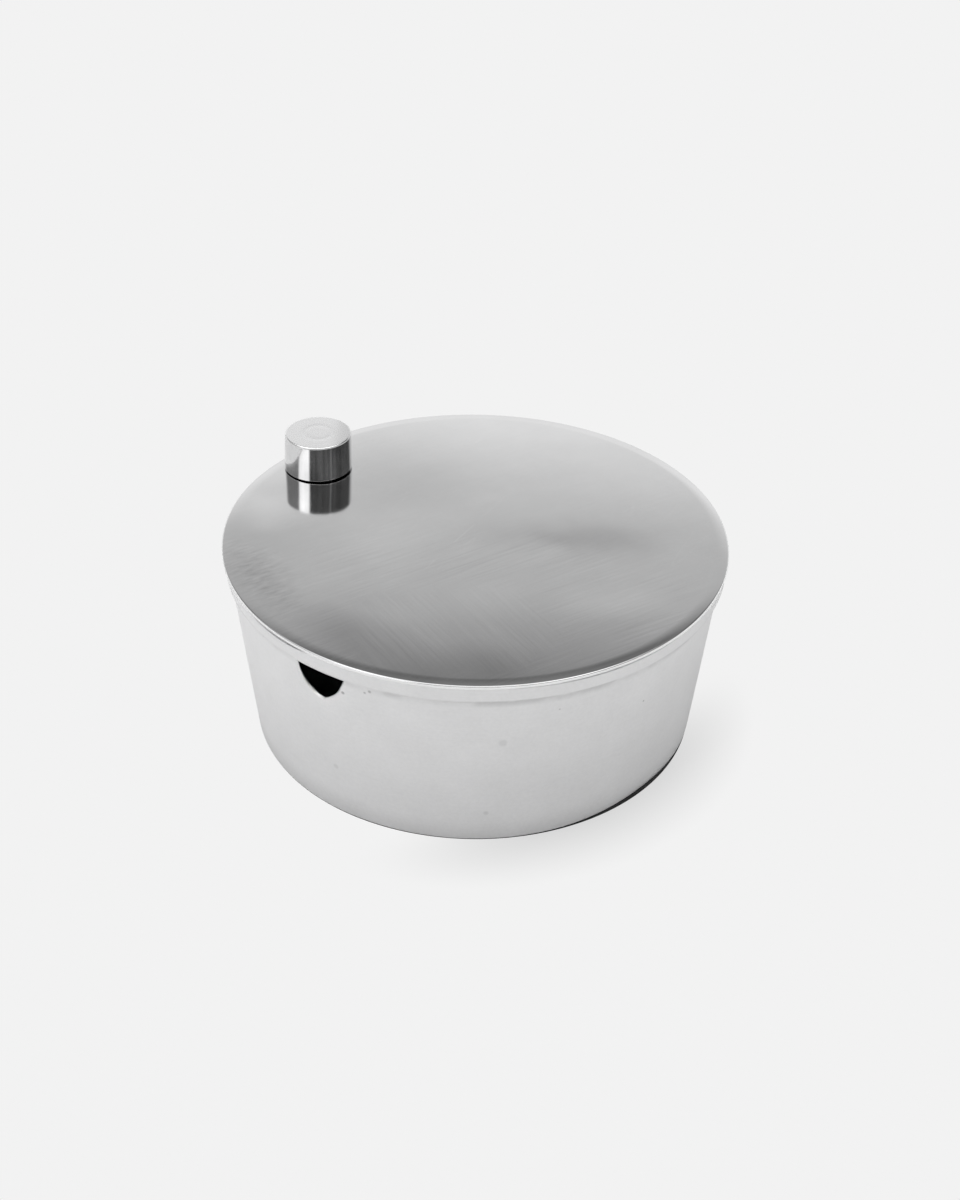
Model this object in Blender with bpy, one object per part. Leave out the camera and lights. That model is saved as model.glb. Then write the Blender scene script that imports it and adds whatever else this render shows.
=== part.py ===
"""Lidded steel dappen dish: a tapered dish with a half-round notch, and a skirted lid with a finger knob.

The dish stands on z = 0 with its axis on Z, and its notch faces -Y. The lid rests on the dish's rim.
"""
import math

import bpy

MM = 0.001

# clearance between pieces that touch or rest on each other
GAP = 0.3 * MM

# base plate: a flat disc let into the wall's foot
BASE_THICKNESS = 1.0 * MM
BASE_EDGE_ROUND = 0.25 * MM

# wall: a thin cone, wider at its rim, whose outer face runs out to the first radius at z = 0
WALL_RADIUS_AT_FLOOR = 44.8 * MM
WALL_RIM_RADIUS = 49.05 * MM
WALL_RIM_Z = 39.2 * MM
WALL_THICKNESS = 0.8 * MM
WALL_EDGE_ROUND = 0.15 * MM

# notch: half-round at its foot, straight-sided up to the rim
NOTCH_RADIUS = 5.5 * MM
NOTCH_CENTRE_Z = 34.15 * MM
NOTCH_ARC_STEPS = 20

# lid plate: a slightly domed disc
LID_RADIUS = 50.0 * MM
LID_EDGE_Z = 40.2 * MM
LID_THICKNESS = 0.7 * MM
LID_CROWN = 0.6 * MM
LID_EDGE_ROUND = 0.2 * MM
LID_DOME_STEPS = 5

# skirt: the ring under the lid plate, outside the wall
SKIRT_OUTER_RADIUS = 49.8 * MM
SKIRT_THICKNESS = 0.45 * MM
SKIRT_FOOT_Z = 36.3 * MM
SKIRT_EDGE_ROUND = 0.15 * MM

# knob: turned from bar, held by a screw from below, standing on a washer in its recessed foot
KNOB_RADIUS = 6.83 * MM
KNOB_TOP_ABOVE_LID = 8.1 * MM
KNOB_TOP_ROUND = 0.4 * MM
KNOB_FOOT_ROUND = 0.25 * MM
KNOB_AXIS_RADIUS = 42.0 * MM
KNOB_AZIMUTH = math.radians(178.3)

WASHER_RADIUS = 4.5 * MM
WASHER_THICKNESS = 0.5 * MM
WASHER_EDGE_ROUND = 0.1 * MM

SCREW_RADIUS = 1.5 * MM
SCREW_REACH_ABOVE_LID = 5.5 * MM
SCREW_HEAD_RADIUS = 2.9 * MM
SCREW_HEAD_HEIGHT = 1.9 * MM
SCREW_HEAD_ROUND = 0.7 * MM
SCREW_TIP_CHAMFER = 0.3 * MM
SCREW_SLOT_WIDTH = 0.8 * MM
SCREW_SLOT_DEPTH = 0.8 * MM

# finishes: colour and roughness
SATIN_STEEL = ((0.62, 0.62, 0.63), 0.32)
POLISHED_STEEL = ((0.66, 0.66, 0.67), 0.16)
TURNED_STEEL = ((0.70, 0.70, 0.71), 0.10)
ZINC_PLATE = ((0.60, 0.61, 0.62), 0.35)

# how far a cutter reaches past what it cuts
CUT_MARGIN = 3.0 * MM

LARGE_SEGMENTS = 96
SMALL_SEGMENTS = 40
ROUND_STEPS = 2
MERGE_DISTANCE = 0.00001
SMOOTH_ANGLE = math.radians(35.0)


def lid_top(radius):
    """Height of the lid plate's upper face at a distance from the axis."""
    return LID_EDGE_Z + LID_CROWN * (1.0 - (radius / LID_RADIUS) ** 2)


# heights and clearances worked out from the driving dimensions
WALL_FOOT_Z = GAP
WALL_SLOPE = (WALL_RIM_RADIUS - WALL_RADIUS_AT_FLOOR) / WALL_RIM_Z
BASE_RADIUS = WALL_RADIUS_AT_FLOOR - WALL_THICKNESS - GAP
SKIRT_TOP_Z = LID_EDGE_Z - LID_THICKNESS - GAP
CLEAR_BORE_RADIUS = SCREW_RADIUS + GAP
LID_Z_AT_KNOB = lid_top(KNOB_AXIS_RADIUS)
LID_Z_AT_KNOB_HIGHEST = lid_top(KNOB_AXIS_RADIUS - KNOB_RADIUS)
KNOB_FOOT_Z = LID_Z_AT_KNOB_HIGHEST + GAP
KNOB_TOP_Z = LID_Z_AT_KNOB + KNOB_TOP_ABOVE_LID
WASHER_FOOT_Z = lid_top(KNOB_AXIS_RADIUS - WASHER_RADIUS) + GAP
RECESS_RADIUS = WASHER_RADIUS + GAP
RECESS_TOP_Z = WASHER_FOOT_Z + WASHER_THICKNESS + GAP
SCREW_HEAD_TOP_Z = lid_top(KNOB_AXIS_RADIUS + SCREW_HEAD_RADIUS) - LID_THICKNESS - GAP
SCREW_TIP_Z = LID_Z_AT_KNOB + SCREW_REACH_ABOVE_LID
BORE_END_Z = SCREW_TIP_Z + GAP
KNOB_X = KNOB_AXIS_RADIUS * math.cos(KNOB_AZIMUTH)
KNOB_Y = KNOB_AXIS_RADIUS * math.sin(KNOB_AZIMUTH)


def clear_scene():
    for thing in list(bpy.data.objects):
        bpy.data.objects.remove(thing, do_unlink=True)


def metal(name, colour, roughness):
    """A steel material with its own colour and roughness."""
    material = bpy.data.materials.new(name)
    material.use_nodes = True
    shader = material.node_tree.nodes["Principled BSDF"]
    shader.inputs["Base Color"].default_value = (*colour, 1.0)
    shader.inputs["Metallic"].default_value = 1.0
    shader.inputs["Roughness"].default_value = roughness
    return material


def rounded(corners):
    """Turn (radius, z, rounding) corners into profile points, with an arc at each rounded corner."""
    points = []
    for i, (x, z, rounding) in enumerate(corners):
        if rounding == 0.0:
            points.append((x, z))
            continue
        before = corners[i - 1]
        after = corners[(i + 1) % len(corners)]
        incoming = math.atan2(before[1] - z, before[0] - x)
        outgoing = math.atan2(after[1] - z, after[0] - x)
        opening = (outgoing - incoming) % (2.0 * math.pi)
        turn = opening if opening < math.pi else opening - 2.0 * math.pi
        middle = incoming + turn / 2.0
        half = abs(turn) / 2.0
        centre_x = x + rounding / math.sin(half) * math.cos(middle)
        centre_z = z + rounding / math.sin(half) * math.sin(middle)
        sweep = math.copysign(math.pi - abs(turn), turn)
        for step in range(ROUND_STEPS + 1):
            angle = middle + math.pi + sweep * (0.5 - step / ROUND_STEPS)
            points.append((centre_x + rounding * math.cos(angle), centre_z + rounding * math.sin(angle)))
    return points


def turned(name, profile, closed, segments, material, parent=None, location=(0.0, 0.0, 0.0)):
    """Spin a profile at +X about Z. The profile runs down its outer side."""
    count = len(profile)
    edges = [(i, i + 1) for i in range(count - 1)]
    if closed:
        edges.append((count - 1, 0))
    mesh = bpy.data.meshes.new(name)
    mesh.from_pydata([(x, 0.0, z) for x, z in profile], edges, [])
    piece = bpy.data.objects.new(name, mesh)
    bpy.context.collection.objects.link(piece)
    piece.parent = parent
    piece.location = location
    mesh.materials.append(material)
    spin = piece.modifiers.new("spin", "SCREW")
    spin.axis = "Z"
    spin.angle = 2.0 * math.pi
    spin.steps = segments
    spin.render_steps = segments
    spin.use_merge_vertices = True
    spin.merge_threshold = MERGE_DISTANCE
    spin.use_smooth_shade = True
    return piece


def cutter(name, outline, depth_axis, start, end, parent=None, location=(0.0, 0.0, 0.0)):
    """A hidden prism: an outline of (a, b) points, extruded along Y or Z from start to end."""
    count = len(outline)
    vertices = []
    for depth in (start, end):
        for a, b in outline:
            vertices.append((a, depth, b) if depth_axis == "Y" else (a, b, depth))
    faces = [tuple(range(count)), tuple(range(2 * count - 1, count - 1, -1))]
    for i in range(count):
        j = (i + 1) % count
        faces.append((i, i + count, j + count, j))
    if depth_axis == "Z":
        faces = [tuple(reversed(face)) for face in faces]
    mesh = bpy.data.meshes.new(name)
    mesh.from_pydata(vertices, [], faces)
    tool = bpy.data.objects.new(name, mesh)
    bpy.context.collection.objects.link(tool)
    tool.parent = parent
    tool.location = location
    tool.hide_render = True
    tool.display_type = "WIRE"
    return tool


def cut(piece, tool):
    boolean = piece.modifiers.new("cut", "BOOLEAN")
    boolean.operation = "DIFFERENCE"
    boolean.solver = "EXACT"
    boolean.object = tool


def settle(piece):
    """Make the piece's modifiers part of its mesh, then shade round faces smooth and corners sharp."""
    graph = bpy.context.evaluated_depsgraph_get()
    finished = bpy.data.meshes.new_from_object(piece.evaluated_get(graph), depsgraph=graph)
    finished.name = piece.name
    piece.modifiers.clear()
    piece.data = finished
    finished.shade_smooth()
    finished.set_sharp_from_angle(angle=SMOOTH_ANGLE)


def make_base_plate(material):
    profile = rounded([
        (0.0, BASE_THICKNESS, 0.0),
        (BASE_RADIUS, BASE_THICKNESS, BASE_EDGE_ROUND),
        (BASE_RADIUS, 0.0, BASE_EDGE_ROUND),
        (0.0, 0.0, 0.0),
    ])
    settle(turned("base_plate", profile, False, LARGE_SEGMENTS, material))


def make_body_wall(material):
    foot_radius = WALL_RADIUS_AT_FLOOR + WALL_SLOPE * WALL_FOOT_Z
    profile = rounded([
        (WALL_RIM_RADIUS, WALL_RIM_Z, WALL_EDGE_ROUND),
        (foot_radius, WALL_FOOT_Z, WALL_EDGE_ROUND),
        (foot_radius - WALL_THICKNESS, WALL_FOOT_Z, WALL_EDGE_ROUND),
        (WALL_RIM_RADIUS - WALL_THICKNESS, WALL_RIM_Z, WALL_EDGE_ROUND),
    ])
    wall = turned("body_wall", profile, True, LARGE_SEGMENTS, material)
    above_rim = WALL_RIM_Z + CUT_MARGIN
    outline = [(NOTCH_RADIUS, above_rim)]
    for step in range(NOTCH_ARC_STEPS + 1):
        angle = -math.pi * step / NOTCH_ARC_STEPS
        outline.append((NOTCH_RADIUS * math.cos(angle), NOTCH_CENTRE_Z + NOTCH_RADIUS * math.sin(angle)))
    outline.append((-NOTCH_RADIUS, above_rim))
    outline.reverse()
    outside = -WALL_RIM_RADIUS - CUT_MARGIN
    inside = -WALL_RADIUS_AT_FLOOR + CUT_MARGIN
    cut(wall, cutter("notch_cutter", outline, "Y", outside, inside))
    settle(wall)


def circle(radius, segments):
    return [
        (radius * math.cos(2.0 * math.pi * i / segments), radius * math.sin(2.0 * math.pi * i / segments))
        for i in range(segments)
    ]


def make_lid_plate(material, lid):
    profile = [(0.0, lid_top(0.0))]
    for step in range(1, LID_DOME_STEPS):
        radius = LID_RADIUS * step / LID_DOME_STEPS
        profile.append((radius, lid_top(radius)))
    underside = [(radius, z - LID_THICKNESS) for radius, z in reversed(profile)]
    inner = profile[-1]
    edge = rounded([
        (*inner, 0.0),
        (LID_RADIUS, LID_EDGE_Z, LID_EDGE_ROUND),
        (LID_RADIUS, LID_EDGE_Z - LID_THICKNESS, 0.0),
    ])
    plate = turned("lid_plate", profile + edge[1:] + underside, False, LARGE_SEGMENTS, material, lid)
    drill = cutter(
        "lid_hole_cutter",
        circle(CLEAR_BORE_RADIUS, SMALL_SEGMENTS),
        "Z",
        LID_Z_AT_KNOB - CUT_MARGIN,
        LID_Z_AT_KNOB + CUT_MARGIN,
        lid,
        (KNOB_X, KNOB_Y, 0.0),
    )
    cut(plate, drill)
    settle(plate)


def make_lid_skirt(material, lid):
    inner_radius = SKIRT_OUTER_RADIUS - SKIRT_THICKNESS
    profile = rounded([
        (SKIRT_OUTER_RADIUS, SKIRT_TOP_Z, 0.0),
        (SKIRT_OUTER_RADIUS, SKIRT_FOOT_Z, SKIRT_EDGE_ROUND),
        (inner_radius, SKIRT_FOOT_Z, SKIRT_EDGE_ROUND),
        (inner_radius, SKIRT_TOP_Z, 0.0),
    ])
    settle(turned("lid_skirt", profile, True, LARGE_SEGMENTS, material, lid))


def make_knob(material, lid):
    profile = rounded([
        (0.0, KNOB_TOP_Z, 0.0),
        (KNOB_RADIUS, KNOB_TOP_Z, KNOB_TOP_ROUND),
        (KNOB_RADIUS, KNOB_FOOT_Z, KNOB_FOOT_ROUND),
        (RECESS_RADIUS, KNOB_FOOT_Z, 0.0),
        (RECESS_RADIUS, RECESS_TOP_Z, 0.0),
        (CLEAR_BORE_RADIUS, RECESS_TOP_Z, 0.0),
        (CLEAR_BORE_RADIUS, BORE_END_Z, 0.0),
        (0.0, BORE_END_Z, 0.0),
    ])
    settle(turned("knob", profile, False, SMALL_SEGMENTS, material, lid, (KNOB_X, KNOB_Y, 0.0)))


def make_knob_washer(material, lid):
    top_z = WASHER_FOOT_Z + WASHER_THICKNESS
    profile = rounded([
        (WASHER_RADIUS, top_z, WASHER_EDGE_ROUND),
        (WASHER_RADIUS, WASHER_FOOT_Z, WASHER_EDGE_ROUND),
        (CLEAR_BORE_RADIUS, WASHER_FOOT_Z, 0.0),
        (CLEAR_BORE_RADIUS, top_z, 0.0),
    ])
    settle(turned("knob_washer", profile, True, SMALL_SEGMENTS, material, lid, (KNOB_X, KNOB_Y, 0.0)))


def make_knob_screw(material, lid):
    head_foot_z = SCREW_HEAD_TOP_Z - SCREW_HEAD_HEIGHT
    profile = rounded([
        (0.0, SCREW_TIP_Z, 0.0),
        (SCREW_RADIUS - SCREW_TIP_CHAMFER, SCREW_TIP_Z, 0.0),
        (SCREW_RADIUS, SCREW_TIP_Z - SCREW_TIP_CHAMFER, 0.0),
        (SCREW_RADIUS, SCREW_HEAD_TOP_Z, 0.0),
        (SCREW_HEAD_RADIUS, SCREW_HEAD_TOP_Z, 0.0),
        (SCREW_HEAD_RADIUS, head_foot_z, SCREW_HEAD_ROUND),
        (0.0, head_foot_z, 0.0),
    ])
    screw = turned("knob_screw", profile, False, SMALL_SEGMENTS, material, lid, (KNOB_X, KNOB_Y, 0.0))
    half_width = SCREW_SLOT_WIDTH / 2.0
    reach = SCREW_HEAD_RADIUS + CUT_MARGIN
    outline = [(-half_width, -reach), (half_width, -reach), (half_width, reach), (-half_width, reach)]
    slot = cutter(
        "screw_slot_cutter",
        outline,
        "Z",
        head_foot_z - CUT_MARGIN,
        head_foot_z + SCREW_SLOT_DEPTH,
        lid,
        (KNOB_X, KNOB_Y, 0.0),
    )
    cut(screw, slot)
    settle(screw)


def main():
    clear_scene()
    satin = metal("satin_steel", *SATIN_STEEL)
    polished = metal("polished_steel", *POLISHED_STEEL)
    bright = metal("bright_turned_steel", *TURNED_STEEL)
    zinc = metal("zinc_plated_steel", *ZINC_PLATE)

    lid = bpy.data.objects.new("lid_lift_axis", None)
    bpy.context.collection.objects.link(lid)

    make_base_plate(satin)
    make_body_wall(satin)
    make_lid_plate(polished, lid)
    make_lid_skirt(satin, lid)
    make_knob(bright, lid)
    make_knob_washer(zinc, lid)
    make_knob_screw(zinc, lid)


main()
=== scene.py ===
"""Studio scene of a lidded steel dappen dish.

Every piece is fine mesh work that stands for one CAD node. Lengths are in metres. Those that the CAD fixes
come from the frame's boxes. Left, right and front are as the camera at rest sees the dish.
"""
import math

import bpy
from mathutils import Matrix, Vector, noise


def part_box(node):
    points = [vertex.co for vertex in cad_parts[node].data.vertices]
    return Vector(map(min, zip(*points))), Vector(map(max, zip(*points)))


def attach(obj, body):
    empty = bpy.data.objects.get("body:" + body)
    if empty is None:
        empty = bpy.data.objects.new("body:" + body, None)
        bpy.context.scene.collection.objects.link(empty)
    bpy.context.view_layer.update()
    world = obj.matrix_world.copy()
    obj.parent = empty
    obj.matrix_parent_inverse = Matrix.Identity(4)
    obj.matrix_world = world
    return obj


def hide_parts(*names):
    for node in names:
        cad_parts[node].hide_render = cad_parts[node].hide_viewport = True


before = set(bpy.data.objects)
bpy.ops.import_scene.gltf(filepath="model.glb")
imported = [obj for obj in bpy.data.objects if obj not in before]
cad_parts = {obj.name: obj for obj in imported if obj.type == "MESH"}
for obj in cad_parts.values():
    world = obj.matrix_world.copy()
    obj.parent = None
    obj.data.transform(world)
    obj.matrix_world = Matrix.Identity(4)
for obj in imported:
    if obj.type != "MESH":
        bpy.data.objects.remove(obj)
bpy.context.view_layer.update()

MM = 0.001
FULL_TURN = 2.0 * math.pi

# ----------------------------------------------------------
# Sizes taken from the frame

LID_LOW, LID_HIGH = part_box("lid_plate")
SKIRT_LOW, SKIRT_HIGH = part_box("lid_skirt")
WALL_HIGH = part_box("body_wall")[1]
BASE_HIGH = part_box("base_plate")[1]
KNOB_LOW, KNOB_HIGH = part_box("knob")
WASHER_LOW, WASHER_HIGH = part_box("knob_washer")
SCREW_LOW, SCREW_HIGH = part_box("knob_screw")

LID_RADIUS = LID_HIGH.x
LID_CROWN = 0.6 * MM
LID_THICKNESS = 0.7 * MM
LID_EDGE_Z = LID_HIGH.z - LID_CROWN
LID_EDGE_ROUND = 0.25 * MM
LID_FOOT_ROUND = 0.12 * MM
LID_RINGS = 44
LID_ROLL_RINGS = 6
LID_UNDERSIDE_RADII = [radius * MM for radius in (48.0, 44.0, 38.0, 32.0, 26.0, 20.0, 13.0, 6.0, 0.0)]
# the plate's border rolls down all round, least on its left
LID_ROLL_WIDTH = 2.4 * MM
LID_ROLL_DROP = 0.11 * MM
LID_ROLL_LEAST = 0.2
LID_ROLL_LEAST_AZIMUTH = math.radians(-164.0)
LID_ROLL_LEAST_SPREAD = math.radians(58.0)
LID_WAVE_HEIGHT = 0.02 * MM
LID_WAVE_LENGTH = 26.0 * MM
# the plate leans towards its middle in front of the knob
LID_LEAN = 0.047
LID_LEAN_HALF_WIDTH = 20.0 * MM
LID_LEAN_HALF_LENGTH = 24.0 * MM
LID_LEAN_AHEAD = 17.0 * MM

SKIRT_RADIUS = SKIRT_HIGH.x - 0.3 * MM
SKIRT_THICKNESS = 0.38 * MM
SKIRT_FOOT_Z = SKIRT_LOW.z - 0.2 * MM
SKIRT_GAP_LEAST = 0.02 * MM
# stretches where the skirt has come away from the plate: azimuth counted from the right, half length, gap
SKIRT_OPENINGS = [
    (math.radians(-141.0), math.radians(15.0), 0.92 * MM),
    (math.radians(-51.0), math.radians(36.0), 0.6 * MM),
]
# how unevenly the gap changes along them, and how many waves it has to a radian
SKIRT_GAP_UNEVENNESS = 0.3
SKIRT_GAP_WAVES = 2.3
SKIRT_EDGE_ROUND = 0.2 * MM
# the skirt sits a little off centre, towards the right
SKIRT_OFF_CENTRE = 0.06 * MM

WALL_RIM_RADIUS = WALL_HIGH.x
WALL_RIM_Z = WALL_HIGH.z
WALL_RADIUS_AT_FLOOR = 44.8 * MM
WALL_SLOPE = (WALL_RIM_RADIUS - WALL_RADIUS_AT_FLOOR) / WALL_RIM_Z
WALL_THICKNESS = 0.8 * MM
# the rim and the notch are filed to a bevel on the outside, which takes up more than half of the thickness
WALL_EDGE_BEVEL = 0.48 * MM
WALL_EDGE_OUTER_DEPTH = 0.45 * MM
WALL_FOOT_BEVEL = 0.16 * MM
WALL_EDGE_INNER_DEPTH = 0.12 * MM
WALL_EDGE_FLATNESS = 1.7
WALL_FOOT_Z = 0.12 * MM
# on one side the wall's foot stands higher, and is tucked in a little
WALL_FOOT_LIFT = 1.0 * MM
WALL_FOOT_LIFT_HEIGHT = 3.0 * MM
WALL_FOOT_LIFT_AZIMUTH = math.radians(-3.0)
WALL_FOOT_LIFT_SPREAD = math.radians(22.0)
WALL_FOOT_TUCK = 0.25 * MM
WALL_FOOT_TUCK_HEIGHT = 1.6 * MM
WALL_WAVE_HEIGHT = 0.03 * MM
WALL_WAVE_LENGTH = 22.0 * MM

# the notch was cut by hand: millimetres round the wall from its middle, and up from the floor
NOTCH_LINE = [
    (-5.5, 39.2), (-4.95, 38.2), (-5.1, 36.0), (-5.05, 34.0), (-4.6, 32.3), (-3.3, 30.75),
    (-2.0, 29.85), (-0.9, 29.25), (0.3, 28.95), (1.5, 29.1), (3.3, 30.5), (4.35, 31.75),
    (5.05, 33.1), (6.0, 35.2), (6.7, 38.2), (7.3, 39.2),
]
NOTCH_LINE_STEPS = 24
NOTCH_PATCH_HALF_WIDTH = 9.5 * MM
NOTCH_PATCH_FOOT_Z = 26.0 * MM
NOTCH_AZIMUTH = math.radians(-90.0)
# the wall's grid: a patch round the notch and the rest of the turn, below and above the patch's foot
WALL_PATCH_COLUMNS = 32
WALL_OTHER_COLUMNS = 256
WALL_LOW_ROWS = 24
WALL_HIGH_ROWS = 22
NOTCH_RINGS = 8
# powers that crowd the rows towards the wall's foot, and the rings towards the notch
FOOT_CROWDING = 1.6
NOTCH_CROWDING = 1.5

BASE_RADIUS = BASE_HIGH.x
BASE_THICKNESS = 1.0 * MM
BASE_FILLET = 1.1 * MM
BASE_TOP_SHARES = (0.0, 0.25, 0.5, 0.7, 0.85, 0.94)
BASE_UNDERSIDE_SHARE = 0.6
# a ring fills the corner between the base plate and the wall's foot, painted almost black as shade in the
# gap under the foot
SHADE_RING_RADIUS = WALL_RADIUS_AT_FLOOR - 0.08 * MM
SHADE_RING_ROUND = 0.03 * MM
SHADE_RING_TOP_Z = 0.08 * MM

KNOB_RADIUS = (KNOB_HIGH.x - KNOB_LOW.x) / 2.0
KNOB_CENTRE = (KNOB_LOW + KNOB_HIGH) / 2.0
KNOB_TOP_ROUND = 0.32 * MM
# the shallow ring on its top, and the rings of points inside and outside it
KNOB_GROOVE_RADIUS = 2.9 * MM
KNOB_GROOVE_WIDTH = 0.9 * MM
KNOB_GROOVE_DEPTH = 0.012 * MM
KNOB_GROOVE_STEPS = 8
KNOB_RADII_INSIDE = (0.0, 0.8 * MM, 1.5 * MM)
KNOB_RADII_OUTSIDE = (4.4 * MM, 5.2 * MM, 5.8 * MM)
# the knob widens a little towards its foot, and its axis leans over to the right
KNOB_FLARE = 0.2 * MM
KNOB_FOOT_ROUND = 0.05 * MM
KNOB_LEAN = math.radians(1.3)
# the room round the washer and the screw in it
KNOB_CLEARANCE = 0.2 * MM
KNOB_RECESS_ROUND = 0.1 * MM

WASHER_RADIUS = (WASHER_HIGH.x - WASHER_LOW.x) / 2.0
WASHER_TOP_ROUND = 0.18 * MM
WASHER_FOOT_ROUND = 0.06 * MM

SCREW_BORE_RADIUS = 1.8 * MM
SCREW_BORE_SEGMENTS = 48
SCREW_RADIUS = 1.5 * MM
SCREW_TIP_ROUND = 0.3 * MM
SCREW_TIP_STEP = 0.25 * MM
SCREW_THREAD_STEPS = 90
# the thread ends short of the shoulder, and the shank's points run on closer to it
SCREW_NECK = 0.4 * MM
SCREW_SHANK_END = 0.1 * MM
SCREW_NECK_ROUND = 0.08 * MM
SCREW_SHOULDER_ROUND = 0.1 * MM
SCREW_HEAD_ROUND = 0.7 * MM
SCREW_SEGMENTS = 64
SCREW_THREAD_PITCH = 0.5 * MM
SCREW_THREAD_DEPTH = 0.27 * MM
SCREW_HEAD_RADIUS = (SCREW_HIGH.x - SCREW_LOW.x) / 2.0
SCREW_HEAD_HEIGHT = 1.9 * MM
SCREW_SLOT_WIDTH = 0.8 * MM
SCREW_SLOT_DEPTH = 0.8 * MM
SCREW_SLOT_REACH = 1.3 * SCREW_HEAD_RADIUS

LARGE_SEGMENTS = 288
SMALL_SEGMENTS = 128
ARC_STEPS = 5
# support points beside an arc, as a share of its radius
ARC_SUPPORT = 0.3
# how far a cutting tool stands out of what it cuts
LID_CUT_MARGIN = 2.0 * MM
SLOT_CUT_MARGIN = 1.0 * MM
SHARP_ANGLE = math.radians(40.0)

# ----------------------------------------------------------
# Camera, light and floor

CAMERA_AZIMUTH = math.radians(36.3)
CAMERA_ELEVATION = math.radians(34.19)
CAMERA_ROLL = math.radians(0.937)
CAMERA_DISTANCE = 394.4 * MM
CAMERA_AIM = Vector((1.04 * MM, 0.0, 24.8 * MM))
CAMERA_LENS = 58.39
CAMERA_SENSOR = 36.0
CAMERA_CLIP_START = 0.01
CAMERA_CLIP_END = 20.0

FLOOR_RADIUS = 4.0
FLOOR_RING_SHARES = (0.0, 0.02, 0.06, 0.2, 0.5, 1.0)
FLOOR_SEGMENTS = 96
# keeps the floor clear of the flat underside of the dish
FLOOR_DROP = 0.02 * MM
# how bright the card is as it is lit, how bright the camera sees it, and what its tooth adds to each
FLOOR_TONE = 0.95
FLOOR_GLOW = 0.888
FLOOR_TOOTH_SCALE = 900.0
FLOOR_TOOTH_TONE = 0.04
FLOOR_TOOTH_GLOW = 0.01
# the contact shadow, on one side of the dish: azimuth counted from the right
CONTACT_REACH = 14.0 * MM
CONTACT_STRENGTH = 0.44
CONTACT_BEARING = math.radians(-50.0)
CONTACT_SPAN = (0.5 * WALL_RADIUS_AT_FLOOR, 0.98 * WALL_RADIUS_AT_FLOOR)
CONTACT_SAMPLES = 16

# radiance of the studio by elevation in degrees: behind the dish, at its side, in the dark room, overhead
SWEEP = [
    (0, 0.90), (20, 0.98), (26, 1.0), (29, 0.79), (32, 0.60), (35, 0.58), (38, 0.36), (41, 0.17), (50, 0.30),
]
SIDE = [(0, 0.90), (16, 0.85), (22, 0.55), (28, 0.25), (36, 0.20), (42, 0.35), (50, 0.90)]
ROOM = [(0, 0.90), (14, 0.80), (20, 0.40), (26, 0.11), (32, 0.055), (38, 0.085), (44, 0.16), (50, 0.40)]
OVERHEAD = [(62, 1.86), (68, 1.95), (75, 1.15), (90, 0.9)]
# a colour ramp holds values up to 1, so it holds the radiance divided by this
RAMP_SCALE = 4.0
# bearings in degrees are measured from the camera's own, positive to its left
SWEEP_BEARINGS = (128.0, 158.0)
SIDE_BEARINGS = (62.0, 68.0, 175.0, 180.0)
STRIP_BEARINGS = (22.0, 31.0, 61.0, 73.0)
STRIP_ELEVATIONS = (21.0, 25.0, 41.0, 46.0)
STRIP_RADIANCE = 1.6
SLIT_BEARINGS = (-50.5, -49.0, -47.5, -46.0)
SLIT_RADIANCE = 0.3
# uneven upright shapes in the dark of the room, in features per degree
CLUTTER_ELEVATIONS = (20.0, 26.0, 42.0, 48.0)
CLUTTER_SCALE = 0.14
CLUTTER_SPAN = (0.3, 0.7)
CLUTTER_DEPTH = 0.9

# ----------------------------------------------------------
# Mesh helpers


def smooth_step(low, high, value):
    t = min(max((value - low) / (high - low), 0.0), 1.0)
    return t * t * (3.0 - 2.0 * t)


def make_object(name, vertices, faces):
    mesh = bpy.data.meshes.new(name)
    mesh.from_pydata(vertices, [], faces)
    mesh.shade_smooth()
    made = bpy.data.objects.new(name, mesh)
    bpy.context.collection.objects.link(made)
    return made


def rounded(corners):
    """Turn (radius, z, rounding) corners into profile points.

    Each rounded corner is an arc. A support point close to each end of it keeps the flats beside it flat.
    """
    points = []
    for i, (x, z, rounding) in enumerate(corners):
        if rounding == 0.0:
            points.append((x, z))
            continue
        corner = Vector((x, z))
        before = (Vector(corners[i - 1][:2]) - corner).normalized()
        after = (Vector(corners[(i + 1) % len(corners)][:2]) - corner).normalized()
        half = before.angle(after) / 2.0
        reach = rounding / math.tan(half)
        start = corner + before * reach
        end = corner + after * reach
        centre = corner + (before + after).normalized() * (rounding / math.sin(half))
        points.append(tuple(start + before * rounding * ARC_SUPPORT))
        first = (start - centre).normalized()
        last = (end - centre).normalized()
        for step in range(ARC_STEPS + 1):
            points.append(tuple(centre + first.slerp(last, step / ARC_STEPS) * rounding))
        points.append(tuple(end + after * rounding * ARC_SUPPORT))
    return points


def between(first, second):
    """Faces between two rings of vertex numbers. A ring of one vertex is a pole."""
    count = max(len(first), len(second))
    faces = []
    for i in range(count):
        j = (i + 1) % count
        if len(first) == 1:
            faces.append((first[0], second[i], second[j]))
        elif len(second) == 1:
            faces.append((first[i], second[0], first[j]))
        else:
            faces.append((first[i], second[i], second[j], first[j]))
    return faces


def spin(name, profile, segments, bend=None, closed=False):
    """Spin (radius, z) points, down the outer side, about Z. bend(angle, radius, z) may move a point."""
    vertices = []
    rings = []
    for radius, z in profile:
        ring = []
        for i in range(1 if radius == 0.0 else segments):
            angle = FULL_TURN * i / segments
            r, height = bend(angle, radius, z) if bend else (radius, z)
            ring.append(len(vertices))
            vertices.append((r * math.cos(angle), r * math.sin(angle), height))
        rings.append(ring)
    faces = []
    for first, second in zip(rings, rings[1:]):
        faces.extend(between(first, second))
    if closed:
        faces.extend(between(rings[-1], rings[0]))
    return make_object(name, vertices, faces)


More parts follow.
